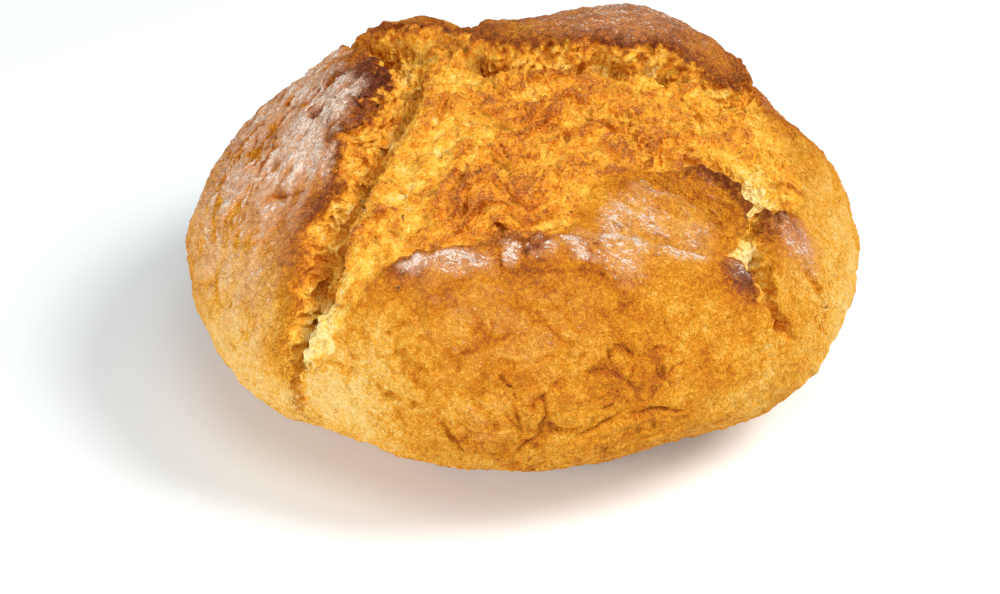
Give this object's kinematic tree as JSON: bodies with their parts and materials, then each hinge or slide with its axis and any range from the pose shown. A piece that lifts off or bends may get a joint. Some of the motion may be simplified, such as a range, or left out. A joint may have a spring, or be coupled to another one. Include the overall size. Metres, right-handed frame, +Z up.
{
  "type": "corn bread loaf",
  "caption": "Round hearth-baked corn bread whose floured crust has torn open over the crown and shows yellow crumb; food to slice and serve.",
  "frame": {"origin": "on the table, under the middle of the loaf's length and width", "axes": "+Z up, the deep narrow tear runs down the left (-X) side of the front, and the front, which is the flank with the smooth golden crust, faces -Y"},
  "size_m": [0.2014, 0.1996, 0.1003],
  "materials": {
    "crust": "matt baked crust, with bright yellow crumb in the tears and white flour on the raised edges"
  },
  "bodies": {
    "root": {"loaf": "crust"}
  },
  "joints": []
}
